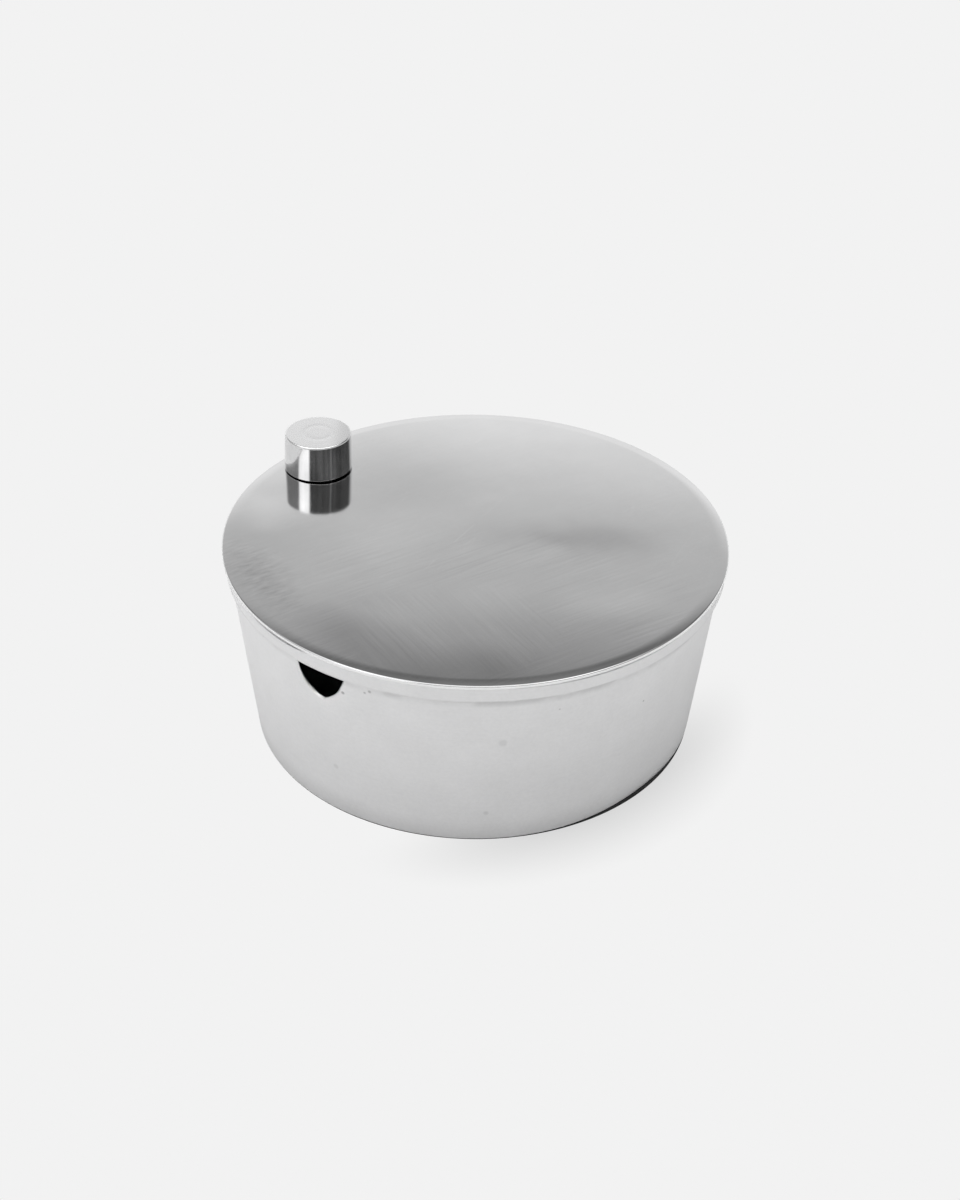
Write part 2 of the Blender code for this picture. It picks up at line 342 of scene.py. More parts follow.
def prism(name, outline, low, high):
    """A hidden cutting tool: an (x, y) outline from z low to z high."""
    count = len(outline)
    vertices = [(x, y, low) for x, y in outline] + [(x, y, high) for x, y in outline]
    faces = [tuple(reversed(range(count))), tuple(range(count, 2 * count))]
    for i in range(count):
        j = (i + 1) % count
        faces.append((i, j, j + count, i + count))
    return make_object(name, vertices, faces)


def cut(piece, tool):
    """Take the tool's shape out of the piece, then delete the tool."""
    boolean = piece.modifiers.new("cut", "BOOLEAN")
    boolean.operation = "DIFFERENCE"
    boolean.solver = "EXACT"
    boolean.object = tool
    graph = bpy.context.evaluated_depsgraph_get()
    finished = bpy.data.meshes.new_from_object(piece.evaluated_get(graph), depsgraph=graph)
    piece.modifiers.clear()
    piece.data = finished
    bpy.data.objects.remove(tool, do_unlink=True)
    finished.set_sharp_from_angle(angle=SHARP_ANGLE)


# ----------------------------------------------------------
# Shader helpers


def node(tree, kind, inputs=None, **settings):
    """Add a shader node. Inputs map a socket's name or number to a value, or to a socket to link."""
    made = tree.nodes.new("ShaderNode" + kind)
    for key, value in settings.items():
        setattr(made, key, value)
    for key, value in (inputs or {}).items():
        if isinstance(value, bpy.types.NodeSocket):
            tree.links.new(value, made.inputs[key])
        else:
            made.inputs[key].default_value = value
    return made


def maths(tree, operation, a, b=0.0):
    return node(tree, "Math", {0: a, 1: b}, operation=operation).outputs[0]


def times(tree, a, b):
    return maths(tree, "MULTIPLY", a, b)


def vector_maths(tree, operation, a, b=(0.0, 0.0, 0.0)):
    """A vector operation. LENGTH, DISTANCE and DOT_PRODUCT give a number, the others a vector."""
    made = node(tree, "VectorMath", {0: a, 1: b}, operation=operation)
    return made.outputs["Value" if operation in ("LENGTH", "DISTANCE", "DOT_PRODUCT") else "Vector"]


def fade(tree, value, low, high, bottom=0.0, top=1.0):
    """Smoothly map a value between low and high to bottom and top."""
    inputs = {"Value": value, "From Min": low, "From Max": high, "To Min": bottom, "To Max": top}
    return node(tree, "MapRange", inputs, interpolation_type="SMOOTHSTEP").outputs["Result"]


def window(tree, value, stops):
    """1 between the two middle stops, falling to 0 at the outer ones."""
    rise = fade(tree, value, stops[0], stops[1])
    fall = fade(tree, value, stops[2], stops[3], 1.0, 0.0)
    return times(tree, rise, fall)


def position(tree):
    return node(tree, "TexCoord").outputs["Object"]


def from_axis(tree, vector):
    """Distance from the Z axis."""
    parts = node(tree, "SeparateXYZ", {0: vector})
    flat = node(tree, "CombineXYZ", {0: parts.outputs[0], 1: parts.outputs[1]})
    return vector_maths(tree, "LENGTH", flat.outputs[0])


def towards_left(tree, place, reach):
    """1 at a distance of reach on the left, -1 on the right."""
    left = (-math.cos(CAMERA_AZIMUTH) / reach, -math.sin(CAMERA_AZIMUTH) / reach, 0.0)
    return vector_maths(tree, "DOT_PRODUCT", place, left)


def facing_up(tree):
    """How far a surface faces up: 1 if it is level, 0 if it is upright."""
    normal = node(tree, "TexCoord").outputs["Normal"]
    return node(tree, "SeparateXYZ", {0: normal}).outputs[2]


def stretched(tree, vector, scale, turn=0.0):
    """The position turned about Z by -turn, then scaled on each axis."""
    inputs = {"Vector": vector, "Angle": -turn}
    turned = node(tree, "VectorRotate", inputs, rotation_type="Z_AXIS").outputs[0]
    return vector_maths(tree, "MULTIPLY", turned, scale)


def grain(tree, vector, detail=3.0, roughness=0.55):
    inputs = {"Vector": vector, "Scale": 1.0, "Detail": detail, "Roughness": roughness}
    return node(tree, "TexNoise", inputs).outputs["Fac"]


def scaled_grain(tree, vector, scale, detail=3.0, roughness=0.55):
    """Grain with scale features to a metre."""
    return grain(tree, stretched(tree, vector, (scale, scale, scale)), detail, roughness)


def blend(tree, factor, a, b):
    """Mix two numbers."""
    inputs = {"Factor": factor, "A": a, "B": b}
    return node(tree, "Mix", inputs, data_type="FLOAT").outputs["Result"]


def total(tree, *terms):
    """Sum of (socket, weight) pairs and plain numbers."""
    result = 0.0
    for term in terms:
        if isinstance(term, tuple):
            term = times(tree, *term)
        result = maths(tree, "ADD", term, result)
    return result


# the flat middle of a pit and of a spot, as a share of its radius
PIT_CORE = 0.4
SPOT_CORE = 0.35
PIT_CHOICE_EDGE = 0.01


def pits(tree, vector, spacing, size, share):
    """1 inside small round pits, scattered one to a cell in a share of the cells."""
    scale = 1.0 / spacing
    cells = node(tree, "TexVoronoi", {"Vector": vector, "Scale": scale, "Randomness": 1.0})
    chosen = node(tree, "SeparateColor", {0: cells.outputs["Color"]}).outputs[0]
    picked = fade(tree, chosen, share, share + PIT_CHOICE_EDGE, 1.0, 0.0)
    inside = fade(tree, cells.outputs["Distance"], PIT_CORE * size * scale, size * scale, 1.0, 0.0)
    return times(tree, inside, picked)


def spot(tree, place, x, y, z, radius):
    """1 in the middle of a soft-edged ball given in millimetres, 0 outside it."""
    away = vector_maths(tree, "DISTANCE", place, (x * MM, y * MM, z * MM))
    return fade(tree, away, SPOT_CORE * radius * MM, radius * MM, 1.0, 0.0)


def cloud(tree, vector, x, y, length, width, turn):
    """1 in the middle of a soft-edged ellipse given in millimetres and degrees, 0 outside it."""
    centred = vector_maths(tree, "SUBTRACT", vector, (x * MM, y * MM, 0.0))
    shrunk = stretched(tree, centred, (1.0 / (length * MM), 1.0 / (width * MM), 0.0), math.radians(turn))
    return fade(tree, vector_maths(tree, "LENGTH", shrunk), 0.0, 1.0, 1.0, 0.0)


def hairlines(tree, vector, scale, turn, width, seed):
    """1 along thin scratches that run in the direction turn."""
    shifted = vector_maths(tree, "ADD", vector, (seed, seed, 0.0))
    field = grain(tree, stretched(tree, shifted, scale, turn), detail=1.0, roughness=0.5)
    away = maths(tree, "ABSOLUTE", maths(tree, "SUBTRACT", field, 0.5))
    return fade(tree, away, 0.0, width, 1.0, 0.0)


def wandering(tree, vector, scale, reach):
    """The position pushed about by a slow noise, so that what follows it has uneven outlines."""
    inputs = {"Vector": vector, "Scale": scale, "Detail": 2.0}
    slow = node(tree, "TexNoise", inputs).outputs["Color"]
    centred = vector_maths(tree, "SUBTRACT", slow, (0.5, 0.5, 0.5))
    push = node(tree, "VectorMath", {0: centred, "Scale": reach}, operation="SCALE").outputs[0]
    return vector_maths(tree, "ADD", vector, push)


def metal(name, build):
    """A metal material. build(tree) returns the sockets for tone, roughness and height in metres."""
    material = bpy.data.materials.new(name)
    material.use_nodes = True
    tree = material.node_tree
    shader = tree.nodes["Principled BSDF"]
    shader.inputs["Metallic"].default_value = 1.0
    tone, roughness, height = build(tree)
    blue = times(tree, tone, STEEL_BLUE)
    colour = node(tree, "CombineColor", {0: tone, 1: tone, 2: blue})
    tree.links.new(colour.outputs[0], shader.inputs["Base Color"])
    tree.links.new(roughness, shader.inputs["Roughness"])
    bump = node(tree, "Bump", {"Strength": 1.0, "Distance": 1.0, "Height": height})
    tree.links.new(bump.outputs[0], shader.inputs["Normal"])
    return material


# ----------------------------------------------------------
# Materials. Each tone and roughness is the finish's own, before its marks add their weights to it.

# steel reflects a little more blue than red
STEEL_BLUE = 1.004
SATIN_TONE = 0.702
SATIN_ROUGHNESS = 0.25
# the satin wall is painted darker towards its foot, as painted shade, and lighter on the left, as painted
# light
FOOT_SHADE_HEIGHT = 6.0 * MM
WALL_PAINTED_LEFT_LIGHT = 0.05
# a faint band on the wall just under the skirt's edge is painted darker, as painted shade from the skirt
SKIRT_SHADE_HEIGHTS = (34.0 * MM, 35.5 * MM, 36.3 * MM, 36.7 * MM)
# dark marks on the wall and the skirt: x, y, z and radius in millimetres, and strength
STEEL_MARKS = [
    (45.4, 19.6, 37.4, 1.8, -0.5),
    (5.8, -48.0, 32.4, 0.5, -0.35),
    (11.5, -47.2, 34.8, 0.45, -0.3),
    (10.5, -47.4, 34.2, 0.38, -0.25),
    (-15.2, -46.2, 35.1, 0.45, -0.3),
    (32.5, -34.7, 25.4, 1.1, -0.1),
    (1.8, -46.1, 12.0, 0.8, -0.09),
    (29.2, -35.0, 7.2, 0.7, -0.1),
]
FILED_TONE = 0.92
FILED_ROUGHNESS = 0.19
# painted shade: the ring under the wall's foot is almost black
SHADE_RING_TONE = 0.05
SHADE_RING_ROUGHNESS = 0.7
SHADE_RING_FADE = 0.4 * MM
LID_TONE = 0.645
LID_ROUGHNESS = 0.06
KNOB_TONE = 0.54
KNOB_ROUGHNESS = -0.005
KNOB_TOP_ROUGHNESS = 0.16
# what the knob's top gains in tone at its right edge and elsewhere: painted light that makes the top lighter
# than the side, less so at its right edge as painted shade
KNOB_TOP_PAINTED_LIGHT = (0.14, 0.31)
ZINC_TONE = 0.54
ZINC_ROUGHNESS = 0.26
STREAK_DIRECTION = math.radians(69.3)
HAIRLINE_DIRECTION = STREAK_DIRECTION + 0.5
STREAK_FINE_SHARE = 0.65
STREAKS_LEAST = 0.18
# soft-edged ellipses on the lid: x, y, half length and half width in millimetres, direction in degrees
CROSSED_STREAKS = (16.5, -28.0, 27.0, 21.0, 36.3)
WORN_HALF = (17.0, -23.0, 62.0, 40.0, 36.3)
RIM_RIPPLES = (-24.0, -37.0, 22.0, 11.0, -22.0)
# lighter and darker clouds on the lid, partly an uneven polish and partly painted reflections of the room,
# with their strength
LID_CLOUDS_AND_REFLECTIONS = [
    (14.5, 10.0, 28.0, 11.0, 36.3, -0.085),
    (22.0, 14.5, 14.0, 9.0, 36.3, -0.05),
    (13.5, 7.5, 12.0, 5.0, 30.0, -0.05),
    (-16.0, 12.0, 22.0, 10.0, 36.3, -0.03),
    (16.0, -16.0, 12.0, 9.0, 36.3, 0.04),
    (34.0, -5.0, 16.0, 9.0, 36.3, 0.09),
    (-2.0, -30.0, 15.0, 9.0, 36.3, -0.04),
    (-38.0, -17.0, 13.0, 9.0, 30.0, 0.14),
    (-22.0, -38.0, 16.0, 8.0, -22.0, -0.09),
    (2.0, -40.5, 18.0, 9.0, 0.0, -0.14),
    (25.0, -36.5, 18.0, 9.0, 36.3, -0.12),
]
# the plate's upright edge is painted brighter, as a painted highlight
LID_EDGE_PAINTED_HIGHLIGHT = 0.24


def satin_steel(tree):
    """Satin finish: a fine mottled grain, faint marks round the wall, stains, and a few pits, with painted
    shade towards the foot and under the skirt's edge, and painted light on the left.
    """
    place = position(tree)
    mottle = scaled_grain(tree, place, scale=1400.0, detail=4.0, roughness=0.6)
    blotch = scaled_grain(tree, place, scale=110.0)
    round_marks = grain(tree, stretched(tree, place, scale=(45.0, 45.0, 2600.0)), detail=2.0)
    fine = scaled_grain(tree, place, scale=7000.0, detail=2.0)
    pit = pits(tree, place, spacing=6.5 * MM, size=0.3 * MM, share=0.34)
    z = node(tree, "SeparateXYZ", {0: place}).outputs[2]
    # painted shade: the wall is made darker towards its foot
    foot = fade(tree, z, 0.0, FOOT_SHADE_HEIGHT, 1.0, 0.0)
    unevenness = fade(tree, blotch, 0.4, 0.62, bottom=0.3, top=1.4)
    # painted shade: an uneven darker band just under the skirt's edge
    skirt_shade = times(tree, window(tree, z, SKIRT_SHADE_HEIGHTS), unevenness)
    # painted light: the wall is made lighter on its left
    left_light = towards_left(tree, place, WALL_RIM_RADIUS)
    marks = [(spot(tree, place, *where), strength) for *where, strength in STEEL_MARKS]
    tone = total(
        tree, SATIN_TONE, (mottle, 0.09), (blotch, 0.09), (round_marks, 0.03), (pit, -0.26), (foot, -0.11),
        (skirt_shade, -0.12), (left_light, WALL_PAINTED_LEFT_LIGHT), *marks
    )
    rough = total(
        tree, SATIN_ROUGHNESS, (mottle, 0.08), (blotch, 0.06), (round_marks, 0.04), (pit, 0.15)
    )
    height = total(
        tree, (fine, 0.0005 * MM), (mottle, 0.0009 * MM), (round_marks, 0.0008 * MM), (pit, -0.02 * MM)
    )
    return tone, rough, height


def filed_steel(tree):
    """Filed sheet edge: bright, with fine filing marks."""
    marks = scaled_grain(tree, position(tree), scale=3500.0, detail=3.0, roughness=0.7)
    tone = total(tree, FILED_TONE, (marks, 0.1))
    rough = total(tree, FILED_ROUGHNESS, (marks, 0.1))
    return tone, rough, total(tree, (marks, 0.006 * MM))


def satin_steel_with_shade_ring(tree):
    """The wall's satin finish, with the ring outside the base plate's edge painted almost black as shade
    under the wall's foot.
    """
    tone, rough, height = satin_steel(tree)
    # painted shade: the ring beyond the base plate's edge turns almost black
    shade_ring = fade(tree, from_axis(tree, position(tree)), BASE_RADIUS, BASE_RADIUS + SHADE_RING_FADE)
    return blend(tree, shade_ring, tone, SHADE_RING_TONE), blend(tree, shade_ring, rough, SHADE_RING_ROUGHNESS), height


def streak_family(tree, place, direction):
    """Fine polishing streaks, and the soft broad bands among them, that run in one direction."""
    lines = stretched(tree, place, scale=(60.0, 1500.0, 1.0), turn=direction)
    bands = stretched(tree, place, scale=(14.0, 150.0, 1.0), turn=direction)
    fine = grain(tree, lines, detail=3.0, roughness=0.6)
    broad = grain(tree, bands, detail=2.0, roughness=0.5)
    return total(tree, (fine, STREAK_FINE_SHARE), (broad, 1.0 - STREAK_FINE_SHARE))


def polished_steel(tree):
    """Hand polish: two crossing families of streaks, clouds that are partly painted reflections, hairlines,
    specks, and ripples at one side.
    """
    place = position(tree)
    loose = wandering(tree, place, scale=45.0, reach=14.0 * MM)
    along = streak_family(tree, place, STREAK_DIRECTION)
    across = streak_family(tree, place, STREAK_DIRECTION - math.pi / 2.0)
    crossing = fade(tree, cloud(tree, loose, *CROSSED_STREAKS), 0.05, 0.45)
    soft_mask = cloud(tree, loose, *WORN_HALF)
    patches = scaled_grain(tree, place, scale=130.0, detail=2.0)
    patches = fade(tree, patches, 0.35, 0.65, bottom=0.5, top=1.2)
    wear = times(tree, fade(tree, soft_mask, 0.0, 0.5, STREAKS_LEAST, 1.0), patches)
    streaks = maths(tree, "SUBTRACT", blend(tree, crossing, along, across), 0.5)
    streaks = times(tree, streaks, wear)
    ripple_place = stretched(tree, place, scale=(330.0, 1200.0, 1.0), turn=STREAK_DIRECTION)
    ripple = maths(tree, "SUBTRACT", grain(tree, ripple_place, detail=2.0, roughness=0.5), 0.5)
    ripple = times(tree, ripple, cloud(tree, loose, *RIM_RIPPLES))
    haze = scaled_grain(tree, place, scale=60.0, detail=4.0, roughness=0.6)
    fine = scaled_grain(tree, place, scale=2500.0)
    broken = fade(tree, scaled_grain(tree, place, scale=90.0, detail=1.0), 0.55, 0.6)
    scratch = hairlines(tree, place, (9.0, 160.0, 1.0), HAIRLINE_DIRECTION, width=0.003, seed=0.31)
    scratch = times(tree, scratch, broken)
    speck = pits(tree, place, spacing=9.0 * MM, size=0.17 * MM, share=0.3)
    glint = pits(tree, loose, spacing=11.0 * MM, size=0.16 * MM, share=0.3)
    # partly uneven polish and partly painted reflections: lighter and darker clouds on the lid
    clouds_and_reflections = [(cloud(tree, loose, *shape), strength) for *shape, strength in LID_CLOUDS_AND_REFLECTIONS]
    # painted highlight: the plate's upright edge is made lighter
    upright = fade(tree, facing_up(tree), 0.5, 0.9, 1.0, 0.0)
    tone = total(
        tree, LID_TONE, (streaks, 0.24), (haze, 0.1), (fine, 0.04), (speck, -0.12), (glint, 0.2),
        (scratch, 0.03), (ripple, 0.4), (upright, LID_EDGE_PAINTED_HIGHLIGHT), *clouds_and_reflections
    )
    rough = total(
        tree, LID_ROUGHNESS, (streaks, 0.1), (haze, 0.05), (speck, 0.2), (glint, 0.3), (scratch, 0.05)
    )
    height = total(
        tree, (streaks, 0.0012 * MM), (fine, 0.0002 * MM), (speck, -0.006 * MM), (scratch, -0.001 * MM),
        (ripple, 0.006 * MM)
    )
    return tone, rough, height


def turned_steel(tree):
    """Lathe finish: faint rings on the top, and lengthwise polishing marks down the side; the top is painted
    lighter than the side, less so at its right edge, as painted light and shade.
    """
    place = position(tree)
    z = node(tree, "SeparateXYZ", {0: place}).outputs[2]
    section = node(tree, "CombineXYZ", {0: from_axis(tree, place), 1: z}).outputs[0]
    top = fade(tree, facing_up(tree), 0.6, 0.95)

    def weighed(value, on_side, on_top):
        return times(tree, value, blend(tree, top, on_side, on_top))

    rings = scaled_grain(tree, section, scale=1500.0, detail=3.0, roughness=0.65)
    broad = scaled_grain(tree, section, scale=420.0, detail=2.0)
    lengthwise = grain(tree, stretched(tree, place, scale=(1500.0, 1500.0, 70.0)), roughness=0.65)
    marks = blend(tree, top, lengthwise, rings)
    smudge = scaled_grain(tree, place, scale=420.0, detail=4.0, roughness=0.6)
    # painted light and shade: the top is made lighter, less so at its right edge
    soft_mask = fade(tree, towards_left(tree, place, KNOB_RADIUS), -1.0, -0.2)
    top_tone = times(tree, top, fade(tree, soft_mask, 0.0, 1.0, *KNOB_TOP_PAINTED_LIGHT))
    marks_tone = weighed(marks, on_side=0.22, on_top=0.05)
    smudge_tone = weighed(smudge, on_side=0.14, on_top=0.07)
    marks_height = weighed(marks, on_side=0.0016 * MM, on_top=0.0002 * MM)
    tone = total(tree, KNOB_TONE, marks_tone, (broad, 0.06), smudge_tone, top_tone)
    rough = total(tree, KNOB_ROUGHNESS, (marks, 0.13), (smudge, 0.1), (top, KNOB_TOP_ROUGHNESS))
    height = total(tree, marks_height, (broad, 0.002 * MM))
    return tone, rough, height


def zinc_plate(tree):
    place = position(tree)
    spangle = scaled_grain(tree, place, scale=1800.0, detail=3.0, roughness=0.6)
    stain = scaled_grain(tree, place, scale=500.0, detail=2.0)
    tone = total(tree, ZINC_TONE, (spangle, 0.08), (stain, 0.08))
    rough = total(tree, ZINC_ROUGHNESS, (spangle, 0.12), (stain, 0.08))
    height = total(tree, (spangle, 0.004 * MM), (stain, 0.004 * MM))
    return tone, rough, height


# ----------------------------------------------------------
# The dish


def wall_radius(z):
    return WALL_RIM_RADIUS - WALL_SLOPE * (WALL_RIM_Z - z)


def foot_lift(angle):
    """How far the wall's foot stands higher than elsewhere."""
    away = (angle - WALL_FOOT_LIFT_AZIMUTH + math.pi) % FULL_TURN - math.pi
    return WALL_FOOT_LIFT * math.exp(-(away / WALL_FOOT_LIFT_SPREAD) ** 2)


def wall_point(arc, z, depth):
    """A point of the wall.

    arc is the length round the rim from the notch's middle, depth is how far in from the outer face it lies.
    """
    angle = NOTCH_AZIMUTH + arc / WALL_RIM_RADIUS
    lift = foot_lift(angle)
    z += lift * smooth_step(WALL_FOOT_LIFT_HEIGHT, 0.0, z)
    outward = Vector((math.cos(angle), math.sin(angle), 0.0))
    up = Vector((0.0, 0.0, z))
    ripple = noise.noise((outward * wall_radius(z) + up) / WALL_WAVE_LENGTH)
    tuck = WALL_FOOT_TUCK * lift / WALL_FOOT_LIFT * smooth_step(WALL_FOOT_TUCK_HEIGHT, 0.0, z - lift)
    return outward * (wall_radius(z) - depth - tuck + WALL_WAVE_HEIGHT * ripple) + up


def curve_through(points, steps):
    """A smooth curve through (x, y) points, with steps pieces between each two of them."""
    ends = [points[0]] + points + [points[-1]]
    curve = [Vector(points[0])]
    for before, first, second, after in zip(ends, ends[1:], ends[2:], ends[3:]):
        first, second = Vector(first), Vector(second)
        out = (second - Vector(before)) / 2.0
        into = (Vector(after) - first) / 2.0
        for step in range(1, steps + 1):
            t = step / steps
            curve.append(
                first * (2.0 * t ** 3 - 3.0 * t ** 2 + 1.0) + out * (t ** 3 - 2.0 * t ** 2 + t)
                + second * (3.0 * t ** 2 - 2.0 * t ** 3) + into * (t ** 3 - t ** 2)
            )
    return curve


def spread_along(curve, shares):
    """Points at the given shares of a curve's length."""
    gone = [0.0]
    for first, second in zip(curve, curve[1:]):
        gone.append(gone[-1] + (second - first).length)
    spread = []
    i = 0
    for share in shares:
        while i < len(curve) - 2 and gone[i + 1] < share * gone[-1]:
            i += 1
        spread.append(curve[i].lerp(curve[i + 1], (share * gone[-1] - gone[i]) / (gone[i + 1] - gone[i])))
    return spread


def notch_outline():
    """(arc, z) points along the notch's edge, from the rim down, round and up to the rim again.

    Each third of it has as many points as the side or foot of the patch that faces it.
    """
    spans = (WALL_HIGH_ROWS, WALL_PATCH_COLUMNS, WALL_HIGH_ROWS)
    shares = [0.0]
    for i, count in enumerate(spans):
        shares += [(i + (step + 1) / count) / len(spans) for step in range(count)]
    line = [(arc * MM, z * MM) for arc, z in NOTCH_LINE]
    return spread_along(curve_through(line, NOTCH_LINE_STEPS), shares)


class WallSheet:
    """One face of the wall laid flat, as (arc, z) points and faces, with the loops along foot and rim."""

    def __init__(self):
        self.points = []
        self.faces = []
        self.columns = WALL_PATCH_COLUMNS + WALL_OTHER_COLUMNS
        self.grid = {}
        top = WALL_RIM_Z - WALL_EDGE_BEVEL
        foot = WALL_FOOT_Z + WALL_FOOT_BEVEL
        for row in range(WALL_LOW_ROWS + 1):
            z = foot + (NOTCH_PATCH_FOOT_Z - foot) * (row / WALL_LOW_ROWS) ** FOOT_CROWDING
            for column in range(self.columns):
                self.add(column, row, z)
        for row in range(WALL_LOW_ROWS + 1, WALL_LOW_ROWS + WALL_HIGH_ROWS + 1):
            z = NOTCH_PATCH_FOOT_Z + (top - NOTCH_PATCH_FOOT_Z) * (row - WALL_LOW_ROWS) / WALL_HIGH_ROWS
            for column in range(WALL_PATCH_COLUMNS, self.columns + 1):
                self.add(column, row, z)
        self.last_row = WALL_LOW_ROWS + WALL_HIGH_ROWS
        self.join_grid()
        self.foot_loop = [self.at(column, 0) for column in range(self.columns)]
        other_columns = range(WALL_PATCH_COLUMNS, self.columns)
        self.rim_loop = [self.at(column, self.last_row) for column in other_columns]
        self.rim_loop += self.join_patch()

    def arc(self, column):
        whole = FULL_TURN * WALL_RIM_RADIUS
        if column <= WALL_PATCH_COLUMNS:
            return NOTCH_PATCH_HALF_WIDTH * (2.0 * column / WALL_PATCH_COLUMNS - 1.0)
        along = (column - WALL_PATCH_COLUMNS) / WALL_OTHER_COLUMNS
        return NOTCH_PATCH_HALF_WIDTH + (whole - 2.0 * NOTCH_PATCH_HALF_WIDTH) * along

    def add(self, column, row, z):
        self.grid[column % self.columns, row] = len(self.points)
        self.points.append(Vector((self.arc(column), z)))

    def at(self, column, row):
        return self.grid[column % self.columns, row]

    def join_grid(self):
        for row in range(self.last_row):
            first = 0 if row < WALL_LOW_ROWS else WALL_PATCH_COLUMNS
            for column in range(first, self.columns):
                self.faces.append((
                    self.at(column, row),
                    self.at(column + 1, row),
                    self.at(column + 1, row + 1),
                    self.at(column, row + 1),
                ))

    def join_patch(self):
        """Fill the space round the notch, and return its part of the rim loop."""
        high_rows = range(WALL_LOW_ROWS, self.last_row + 1)
        ring = [self.at(0, row) for row in reversed(high_rows)]
        ring += [self.at(column, WALL_LOW_ROWS) for column in range(1, WALL_PATCH_COLUMNS)]
        ring += [self.at(WALL_PATCH_COLUMNS, row) for row in high_rows]
        border = [self.border_point(number) for number in ring]
        outline = inset(notch_outline(), WALL_EDGE_BEVEL)
        left_top = [ring[0]]
        right_top = [ring[-1]]
        for step in range(1, NOTCH_RINGS + 1):
            t = 1.0 - (1.0 - step / NOTCH_RINGS) ** NOTCH_CROWDING
            inner = []
            for outer_point, edge_point in zip(border, outline):
                inner.append(len(self.points))
                self.points.append(outer_point.lerp(edge_point, t))
            for k in range(len(ring) - 1):
                self.faces.append((ring[k], ring[k + 1], inner[k + 1], inner[k]))
            ring = inner
            left_top.append(inner[0])
            right_top.append(inner[-1])
        return left_top + ring[1:-1] + list(reversed(right_top[1:]))

    def border_point(self, number):
        """The patch's border point, with an arc near the notch's own rather than a whole turn away."""
        arc, z = self.points[number]
        whole = FULL_TURN * WALL_RIM_RADIUS
        return Vector((arc - whole if arc > whole / 2.0 else arc, z))


def inset(outline, distance):
    """Move an open (arc, z) outline of the notch into the metal. Its two ends move straight down."""
    moved = []
    last = len(outline) - 1
    for i, (x, z) in enumerate(outline):
        before = outline[max(i - 1, 0)]
        after = outline[min(i + 1, last)]
        along = Vector((after[0] - before[0], after[1] - before[1])).normalized()
        if i in (0, last):
            along = Vector((1.0, 0.0))
        moved.append(Vector((x, z)) + Vector((along.y, -along.x)) * distance)
    return moved


def edge_steps(bevel):
    """(offset from the edge, depth) pairs that lead over the edge from the outer face to the inner one."""
    outer_depth = WALL_EDGE_OUTER_DEPTH * bevel / WALL_EDGE_BEVEL
    pairs = []
    for step in range(1, ARC_STEPS + 1):
        angle = math.pi / 2.0 * step / ARC_STEPS
        offset = bevel * (1.0 - math.sin(angle) ** WALL_EDGE_FLATNESS)
        pairs.append((offset, outer_depth * (1.0 - math.cos(angle) ** WALL_EDGE_FLATNESS)))
    for step in range(ARC_STEPS):
        angle = math.pi / 2.0 * step / ARC_STEPS
        from_inside = WALL_EDGE_INNER_DEPTH * (1.0 - math.sin(angle))
        pairs.append((bevel * (1.0 - math.cos(angle)), WALL_THICKNESS - from_inside))
    return pairs


def make_wall():
    sheet = WallSheet()
    vertices = [wall_point(*point, 0.0) for point in sheet.points]
    vertices += [wall_point(*point, WALL_THICKNESS) for point in sheet.points]
    faces = list(sheet.faces)
    count = len(sheet.points)
    faces += [tuple(count + i for i in reversed(face)) for face in sheet.faces]
    for loop, way, bevel in ((sheet.foot_loop, -1, WALL_FOOT_BEVEL), (sheet.rim_loop, 1, WALL_EDGE_BEVEL)):
        first_edge_face = len(faces)
        normals = loop_normals(sheet, loop, way)
        previous = loop
        for offset, depth in edge_steps(bevel):
            ring = []
            for number, normal in zip(loop, normals):
                arc, z = sheet.points[number] + normal * (bevel - offset)
                ring.append(len(vertices))
                vertices.append(wall_point(arc, z, depth))
            faces += bridge(previous, ring, way)
            previous = ring
        faces += bridge(previous, [count + number for number in loop], way)
    wall = make_object("steel_body_wall", vertices, faces)
    for face in wall.data.polygons[first_edge_face:]:
        face.material_index = 1
    return wall


def loop_normals(sheet, loop, way):
    """Directions in the flat sheet that point out of the metal along a loop."""
    whole = FULL_TURN * WALL_RIM_RADIUS
    normals = []
    for i in range(len(loop)):
        along = sheet.points[loop[(i + 1) % len(loop)]] - sheet.points[loop[i - 1]]
        along.x = (along.x + whole / 2.0) % whole - whole / 2.0
        along.normalize()
        normals.append(Vector((-along.y, along.x)) * way)
    return normals


def bridge(first, second, way):
    faces = []
    for i in range(len(first)):
        j = (i + 1) % len(first)
        face = (first[i], first[j], second[j], second[i])
        faces.append(face if way > 0 else tuple(reversed(face)))
    return faces


def shade_ring_bend(angle, radius, z):
    """Lifts the shade ring's upper side with the wall's foot."""
    if radius > BASE_RADIUS and z > SHADE_RING_TOP_Z / 2.0:
        z += foot_lift(angle)
    return radius, z


